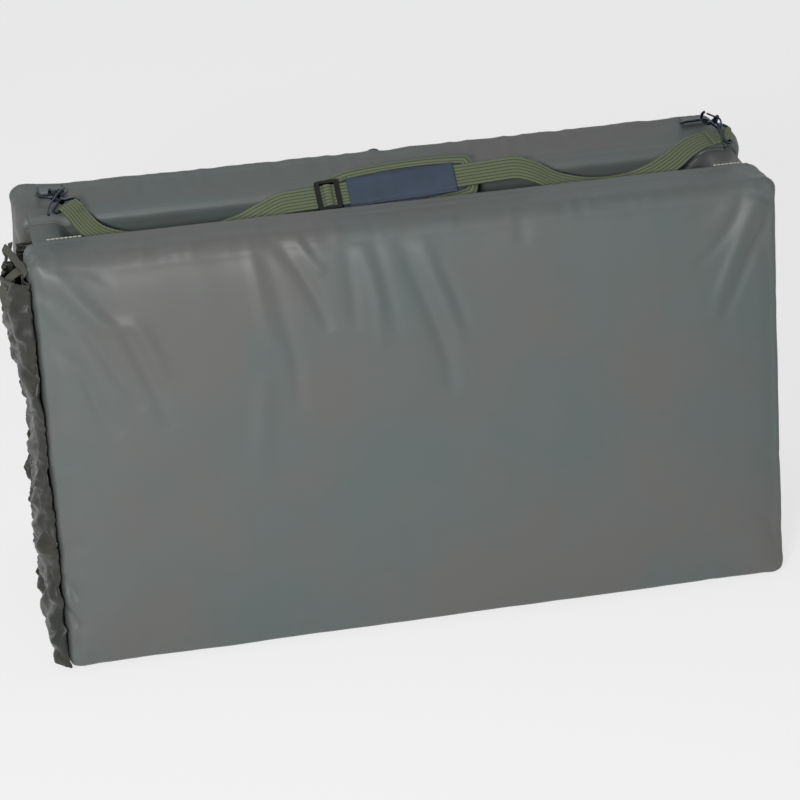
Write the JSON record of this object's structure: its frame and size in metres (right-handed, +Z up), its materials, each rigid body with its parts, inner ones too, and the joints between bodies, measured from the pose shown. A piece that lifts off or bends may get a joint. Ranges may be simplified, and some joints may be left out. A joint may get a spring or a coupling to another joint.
{
  "type": "unhooking mat",
  "caption": "Padded mat of two panels on a fabric fold, standing as a tent, with gathered end skirts and a padded carrying strap clipped to rings with snap hooks.",
  "frame": {"origin": "Centre of the footprint, on the floor that the mat stands on.", "axes": "X runs along the fold, Y from the front panel to the rear panel, Z up."},
  "size_m": [0.9294, 0.3864, 0.5316],
  "materials": {
    "coated_polyester": "coated, low sheen",
    "lying_surface_cloth": "smooth, coated",
    "foam": "open cell foam",
    "skirt_nylon": "thin nylon",
    "polypropylene_webbing": "ribbed weave",
    "black_nickel": "blue-black plating, bright",
    "moulded_acetal": "moulded, satin",
    "pad_face_cloth": "woven"
  },
  "bodies": {
    "rear_panel": {"rear_cover": "coated_polyester", "rear_foam": "foam", "rear_lying_sheet": "lying_surface_cloth", "fold_web": "coated_polyester", "rear_hanging_tab": "polypropylene_webbing", "left_skirt_rear": "skirt_nylon", "right_skirt_rear": "skirt_nylon", "left_hem_rear": "skirt_nylon", "right_hem_rear": "skirt_nylon", "left_ring_tab": "coated_polyester", "right_ring_tab": "coated_polyester"},
    "front_panel": {"front_cover": "coated_polyester", "front_foam": "foam", "front_lying_sheet": "lying_surface_cloth", "left_skirt_front": "skirt_nylon", "right_skirt_front": "skirt_nylon", "left_hem_front": "skirt_nylon", "right_hem_front": "skirt_nylon", "left_corner_loop": "skirt_nylon", "right_corner_loop": "skirt_nylon"},
    "strap": {"strap_webbing": "polypropylene_webbing", "strap_tail": "polypropylene_webbing", "left_d_ring": "black_nickel", "right_d_ring": "black_nickel", "left_hook_eye": "black_nickel", "right_hook_eye": "black_nickel"},
    "slider": {"strap_slider": "moulded_acetal"},
    "pad": {"pad_core": "foam", "pad_binding": "polypropylene_webbing", "pad_face_patch": "pad_face_cloth"},
    "left_hook": {"left_hook_body": "black_nickel", "left_gate_pin": "black_nickel"},
    "left_gate": {"left_hook_gate": "black_nickel"},
    "right_hook": {"right_hook_body": "black_nickel", "right_gate_pin": "black_nickel"},
    "right_gate": {"right_hook_gate": "black_nickel"}
  },
  "joints": [
    {"name": "main_fold", "type": "hinge", "parent": "rear_panel", "child": "front_panel", "pos_m": [0, 0, 0.52152], "axis": [-1, 0, 0], "range_deg": [0, 160.8], "deforming": ["fold_web"]},
    {"name": "strap_swing", "type": "hinge", "parent": "rear_panel", "child": "strap", "pos_m": [0, 0.0805, 0.51073], "axis": [-1, 0, 0], "range_deg": [0, 134]},
    {"name": "slider_slide", "type": "slide", "parent": "strap", "child": "slider", "axis": [-0.9989, 0, -0.0467], "range_m": [0, 0.025], "deforming": ["strap_tail"]},
    {"name": "pad_slide", "type": "slide", "parent": "strap", "child": "pad", "axis": [0.9989, 0, 0.0467], "range_m": [0, 0.03]},
    {"name": "left_hook_swivel", "type": "hinge", "parent": "strap", "child": "left_hook", "pos_m": [-0.38743, 0.02485, 0.514], "axis": [-0.4203, 0.9013, 0.1045], "range_deg": [-6, 6]},
    {"name": "left_gate_hinge", "type": "hinge", "parent": "left_hook", "child": "left_gate", "pos_m": [-0.39769, 0.04687, 0.5254], "axis": [0.9063, 0.4226, 0], "range_deg": [-22, 0], "stiffness_Nm_per_rad": 0.03, "springref_deg": 17.19},
    {"name": "right_hook_swivel", "type": "hinge", "parent": "strap", "child": "right_hook", "pos_m": [0.43567, 0.03935, 0.50585], "axis": [-0.623, 0.6016, 0.5], "range_deg": [-6, 6]},
    {"name": "right_gate_hinge", "type": "hinge", "parent": "right_hook", "child": "right_gate", "pos_m": [0.42304, 0.05154, 0.52615], "axis": [0.6947, 0.7193, 0], "range_deg": [-22, 0], "stiffness_Nm_per_rad": 0.03, "springref_deg": 17.19}
  ],
  "couplings": [
    {"joint": "strap_swing", "follows": "main_fold", "ratio": 0.83}
  ]
}
